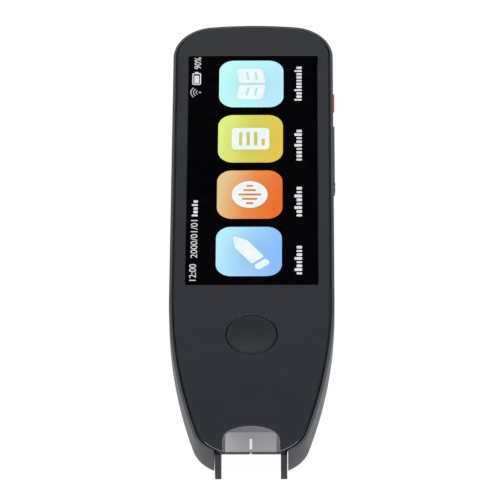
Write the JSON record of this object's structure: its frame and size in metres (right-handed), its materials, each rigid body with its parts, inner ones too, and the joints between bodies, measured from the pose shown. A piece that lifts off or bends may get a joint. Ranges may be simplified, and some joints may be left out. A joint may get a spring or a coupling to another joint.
{
  "type": "handheld translator",
  "caption": "Flat handheld scan-and-translate pen: inset bar display, round front key, side keys and a notched nose with a smoked sight window and a sprung U-shaped nib trigger.",
  "frame": {"origin": "centre of the outline's box, on the flat back that the pen lies on", "axes": "+Z out of the display, +Y from the nose to the top end, +X to the side with the keys when the display is read with the nose down"},
  "size_m": [0.0425, 0.1458, 0.012],
  "materials": {
    "housing_plastic": "fine satin spark texture, dark charcoal",
    "panel_plastic": "satin charcoal face with a polished bevel",
    "cover_glass": "polished black cover lens over the display",
    "smoked_plastic": "smoked clear acrylic, polished",
    "clear_plastic": "clear acrylic, polished",
    "lens_glass": "coated lens",
    "trigger_plastic": "satin moulded nylon, charcoal",
    "red_plastic": "satin red",
    "key_plastic": "satin grey",
    "black_plastic": "matt black",
    "white_plastic": "matt white",
    "silicone": "matt silicone",
    "foam": "matt closed-cell foam",
    "mesh_cloth": "woven dust mesh",
    "display_cell": "laminated display cell",
    "circuit_board": "green solder mask",
    "flex": "amber polyimide",
    "led_white": "white light source board",
    "battery_foil": "foil pouch",
    "frame_aluminium": "stamped, satin",
    "sheet_steel": "tinned sheet",
    "spring_steel": "bright spring wire and domes",
    "screw_steel": "zinc plated"
  },
  "bodies": {
    "pen": {"rear_housing": "housing_plastic", "front_panel": "panel_plastic", "screen_glass": "cover_glass", "display_gasket": "foam", "display_panel": "display_cell", "backlight": "white_plastic", "display_flex": "flex", "mid_frame": "frame_aluminium", "battery": "battery_foil", "battery_pad": "foam", "battery_circuit": "circuit_board", "main_board": "circuit_board", "shield_cans": "sheet_steel", "usb_socket": "sheet_steel", "microphones": "sheet_steel", "speaker": "black_plastic", "speaker_mesh": "mesh_cloth", "wifi_antenna": "flex", "link_flex": "flex", "nose_board": "circuit_board", "scan_hood": "black_plastic", "scan_cover": "clear_plastic", "camera_module": "black_plastic", "camera_lens": "lens_glass", "scan_leds": "led_white", "sight_window": "smoked_plastic", "trigger_springs": "spring_steel", "trigger_switch": "black_plastic", "button_pad": "silicone", "button_dome": "spring_steel", "power_dome": "spring_steel", "volume_domes": "spring_steel", "key_board": "flex", "frame_screws": "screw_steel", "board_screws": "screw_steel"},
    "trigger": {"nib_trigger": "trigger_plastic", "switch_plunger": "white_plastic"},
    "front_key": {"front_button": "panel_plastic"},
    "power_key": {"power_button": "red_plastic"},
    "volume_key": {"volume_rocker": "key_plastic"}
  },
  "joints": [
    {"name": "nib_trigger_slide", "type": "slide", "parent": "pen", "child": "trigger", "axis": [0, 1, 0], "range_m": [0, 0.001], "stiffness_N_per_m": 300, "springref_m": -0.002, "deforming": ["trigger_springs"]},
    {"name": "front_key_press", "type": "slide", "parent": "pen", "child": "front_key", "axis": [0, 0, -1], "range_m": [0, 0.00035], "stiffness_N_per_m": 2000, "springref_m": -0.0003, "deforming": ["button_pad", "button_dome"]},
    {"name": "power_key_press", "type": "slide", "parent": "pen", "child": "power_key", "axis": [-1, 0, 0], "range_m": [0, 0.0003], "stiffness_N_per_m": 2000, "springref_m": -0.0003, "deforming": ["power_dome"]},
    {"name": "volume_rocker_tilt", "type": "hinge", "parent": "pen", "child": "volume_key", "pos_m": [0.01776, 0.0286, 0.007], "axis": [0, 0, 1], "range_deg": [-1, 1], "stiffness_Nm_per_rad": 0.2, "deforming": ["volume_domes"]}
  ]
}
